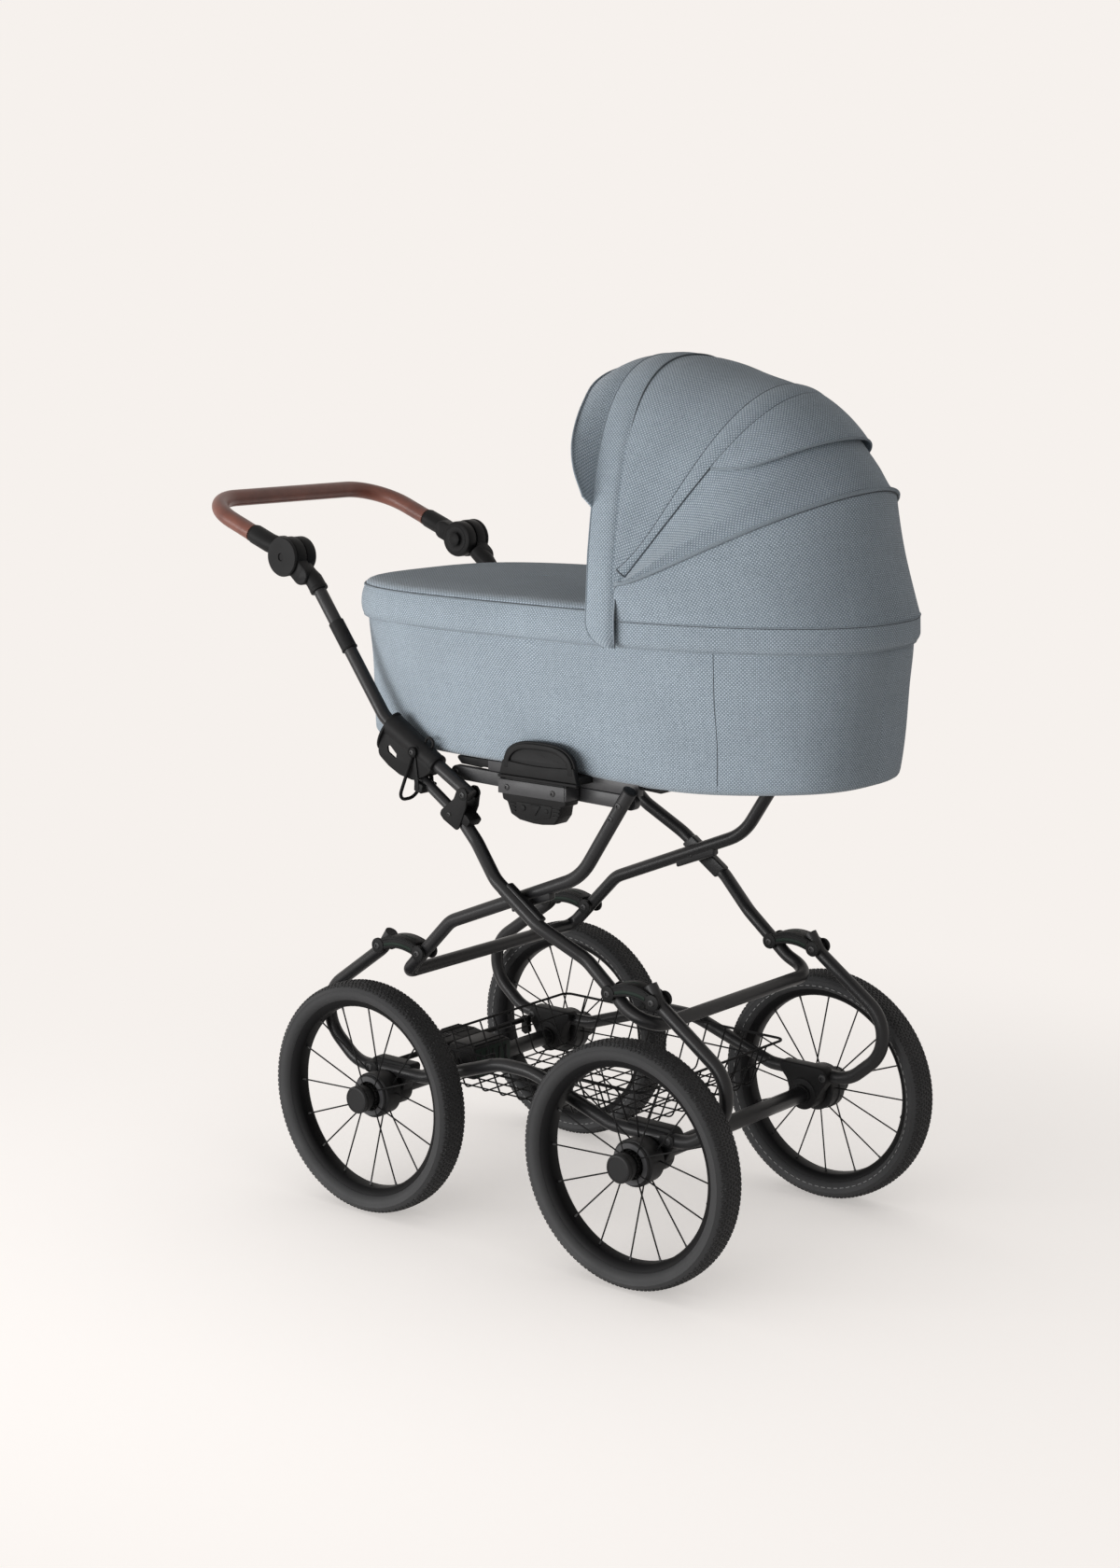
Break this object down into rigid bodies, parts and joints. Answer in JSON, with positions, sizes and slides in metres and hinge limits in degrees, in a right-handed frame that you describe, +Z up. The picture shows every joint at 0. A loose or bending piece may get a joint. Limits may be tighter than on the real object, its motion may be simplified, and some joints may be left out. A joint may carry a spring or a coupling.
{
  "type": "pram",
  "caption": "Pram: a cloth carrycot with folding hood and wind cover on a folding tube chassis with spoked wheels, wire basket, foot brake and leather handle bar.",
  "frame": {"origin": "middle of the pram's outline, on the ground", "axes": "+X towards the hood end, +Y to the left of a person pushing, +Z up"},
  "size_m": [1.1525, 0.551, 1.2866],
  "materials": {
    "black_metal": "satin powder coat",
    "black_plastic": "fine grained, semi-matt",
    "tyre_rubber": "matt",
    "brown_leather": "smooth satin",
    "blue_grey_cloth": "coarse basket weave",
    "grey_padding": "soft quilted"
  },
  "bodies": {
    "chassis": {"spring_tube_right": "black_metal", "spring_tube_left": "black_metal", "front_axle": "black_metal", "rear_axle": "black_metal", "axle_bracket_front_right": "black_plastic", "axle_bracket_front_left": "black_plastic", "axle_bracket_rear_right": "black_plastic", "axle_bracket_rear_left": "black_plastic", "wire_basket": "black_metal", "brake_housing": "black_plastic"},
    "front_links": {"link_front_right": "black_plastic", "link_front_left": "black_plastic"},
    "rear_links": {"link_rear_right": "black_plastic", "link_rear_left": "black_plastic"},
    "outer_frame": {"outer_frame": "black_metal", "hinge_bracket_right": "black_plastic", "hinge_bracket_left": "black_plastic"},
    "inner_frame": {"inner_frame": "black_metal"},
    "fold_rails": {"fold_rail_right": "black_metal", "fold_rail_left": "black_metal", "adapter_right": "black_plastic", "adapter_left": "black_plastic"},
    "handle": {"handle_tube_right": "black_metal", "handle_tube_left": "black_metal", "lock_housing_right": "black_plastic", "lock_housing_left": "black_plastic", "handle_socket_right": "black_plastic", "handle_socket_left": "black_plastic"},
    "handle_bar": {"handle_knuckle_right": "black_plastic", "handle_knuckle_left": "black_plastic", "handle_bar_tube": "black_metal", "leather_grip": "brown_leather"},
    "brake_pedal": {"brake_pedal": "black_plastic"},
    "cot": {"cot_shell": "blue_grey_cloth", "mattress": "grey_padding", "apron": "blue_grey_cloth", "hood_rear_panel": "blue_grey_cloth", "cot_catch_right": "black_plastic", "cot_catch_left": "black_plastic"},
    "hood_front": {"hood_front_band": "blue_grey_cloth", "sun_visor": "blue_grey_cloth", "hood_front_panel": "blue_grey_cloth"},
    "hood_middle": {"hood_middle_bow": "black_plastic", "hood_middle_panel": "blue_grey_cloth"},
    "handle_button_right": {"handle_button_right": "black_plastic"},
    "wire_loop_right": {"wire_loop_right": "black_metal"},
    "wheel_front_right": {"tyre_front_right": "tyre_rubber", "wheel_front_right": "black_metal"},
    "hub_cap_front_right": {"hub_cap_front_right": "black_plastic"},
    "wheel_rear_right": {"tyre_rear_right": "tyre_rubber", "wheel_rear_right": "black_metal"},
    "hub_cap_rear_right": {"hub_cap_rear_right": "black_plastic"},
    "handle_button_left": {"handle_button_left": "black_plastic"},
    "wire_loop_left": {"wire_loop_left": "black_metal"},
    "wheel_front_left": {"tyre_front_left": "tyre_rubber", "wheel_front_left": "black_metal"},
    "hub_cap_front_left": {"hub_cap_front_left": "black_plastic"},
    "wheel_rear_left": {"tyre_rear_left": "tyre_rubber", "wheel_rear_left": "black_metal"},
    "hub_cap_rear_left": {"hub_cap_rear_left": "black_plastic"}
  },
  "joints": [
    {"name": "handle_fold", "type": "hinge", "parent": "outer_frame", "child": "handle", "pos_m": [-0.0187, 0, 0.653], "axis": [0, 1, 0], "range_deg": [0, 138]},
    {"name": "rear_link_fold", "type": "hinge", "parent": "chassis", "child": "rear_links", "pos_m": [-0.1902, 0, 0.403], "axis": [0, 1, 0], "range_deg": [0, 45.66]},
    {"name": "inner_frame_fold", "type": "hinge", "parent": "rear_links", "child": "inner_frame", "pos_m": [-0.1097, 0, 0.403], "axis": [0, 1, 0], "range_deg": [-29.36, 0]},
    {"name": "rail_fold", "type": "hinge", "parent": "inner_frame", "child": "fold_rails", "pos_m": [0.2618, 0, 0.67], "axis": [0, 1, 0], "range_deg": [-16.68, 0]},
    {"name": "front_link_fold", "type": "hinge", "parent": "chassis", "child": "front_links", "pos_m": [0.3268, 0, 0.403], "axis": [0, 1, 0], "range_deg": [-45.66, 0]},
    {"name": "outer_frame_fold", "type": "hinge", "parent": "front_links", "child": "outer_frame", "pos_m": [0.2493, 0, 0.403], "axis": [0, 1, 0], "range_deg": [0, 24.81]},
    {"name": "cot_lift", "type": "slide", "parent": "chassis", "child": "cot", "axis": [0.7071, 0, 0.7071], "range_m": [0, 1.626]},
    {"name": "handle_bar_tilt", "type": "hinge", "parent": "handle", "child": "handle_bar", "pos_m": [-0.3707, 0, 0.976], "axis": [0, 1, 0], "range_deg": [-40, 60]},
    {"name": "brake_pedal_press", "type": "hinge", "parent": "chassis", "child": "brake_pedal", "pos_m": [-0.2177, 0, 0.203], "axis": [0, 1, 0], "range_deg": [-12, 0]},
    {"name": "hood_front_fold", "type": "hinge", "parent": "cot", "child": "hood_front", "pos_m": [0.2713, 0, 0.967], "axis": [0, 1, 0], "range_deg": [0, 62], "deforming": ["hood_front_panel"]},
    {"name": "hood_middle_fold", "type": "hinge", "parent": "cot", "child": "hood_middle", "pos_m": [0.2713, 0, 0.967], "axis": [0, 1, 0], "range_deg": [0, 28], "deforming": ["hood_middle_panel"]},
    {"name": "handle_button_right_press", "type": "slide", "parent": "handle_bar", "child": "handle_button_right", "axis": [0, -1, 0], "range_m": [0, 0.0035], "stiffness_N_per_m": 300, "springref_m": -0.002},
    {"name": "wire_loop_right_swing", "type": "hinge", "parent": "outer_frame", "child": "wire_loop_right", "pos_m": [-0.1127, -0.197, 0.706], "axis": [0, 1, 0], "range_deg": [-28, 45]},
    {"name": "wheel_front_right_turn", "type": "hinge", "parent": "chassis", "child": "wheel_front_right", "pos_m": [0.317, -0.2455, 0.178], "axis": [0, 1, 0], "continuous": true},
    {"name": "hub_cap_front_right_press", "type": "slide", "parent": "wheel_front_right", "child": "hub_cap_front_right", "axis": [0, 1, 0], "range_m": [0, 0.0025], "stiffness_N_per_m": 300, "springref_m": -0.002},
    {"name": "wheel_rear_right_turn", "type": "hinge", "parent": "chassis", "child": "wheel_rear_right", "pos_m": [-0.1804, -0.2455, 0.178], "axis": [0, 1, 0], "continuous": true},
    {"name": "hub_cap_rear_right_press", "type": "slide", "parent": "wheel_rear_right", "child": "hub_cap_rear_right", "axis": [0, 1, 0], "range_m": [0, 0.0025], "stiffness_N_per_m": 300, "springref_m": -0.002},
    {"name": "handle_button_left_press", "type": "slide", "parent": "handle_bar", "child": "handle_button_left", "axis": [0, 1, 0], "range_m": [0, 0.0035], "stiffness_N_per_m": 300, "springref_m": -0.002},
    {"name": "wire_loop_left_swing", "type": "hinge", "parent": "outer_frame", "child": "wire_loop_left", "pos_m": [-0.1127, 0.197, 0.706], "axis": [0, 1, 0], "range_deg": [-28, 45]},
    {"name": "wheel_front_left_turn", "type": "hinge", "parent": "chassis", "child": "wheel_front_left", "pos_m": [0.317, 0.2455, 0.178], "axis": [0, 1, 0], "continuous": true},
    {"name": "hub_cap_front_left_press", "type": "slide", "parent": "wheel_front_left", "child": "hub_cap_front_left", "axis": [0, -1, 0], "range_m": [0, 0.0025], "stiffness_N_per_m": 300, "springref_m": -0.002},
    {"name": "wheel_rear_left_turn", "type": "hinge", "parent": "chassis", "child": "wheel_rear_left", "pos_m": [-0.1804, 0.2455, 0.178], "axis": [0, 1, 0], "continuous": true},
    {"name": "hub_cap_rear_left_press", "type": "slide", "parent": "wheel_rear_left", "child": "hub_cap_rear_left", "axis": [0, -1, 0], "range_m": [0, 0.0025], "stiffness_N_per_m": 300, "springref_m": -0.002}
  ],
  "couplings": [
    {"joint": "rear_link_fold", "follows": "handle_fold", "ratio": 0.3305},
    {"joint": "inner_frame_fold", "follows": "handle_fold", "ratio": -0.21236},
    {"joint": "rail_fold", "follows": "handle_fold", "ratio": -0.1205},
    {"joint": "front_link_fold", "follows": "handle_fold", "ratio": -0.3305},
    {"joint": "outer_frame_fold", "follows": "handle_fold", "ratio": 0.17942},
    {"joint": "cot_lift", "follows": "handle_fold", "m_per_rad": 0.67486},
    {"joint": "hood_middle_fold", "follows": "hood_front_fold", "ratio": 0.45}
  ]
}
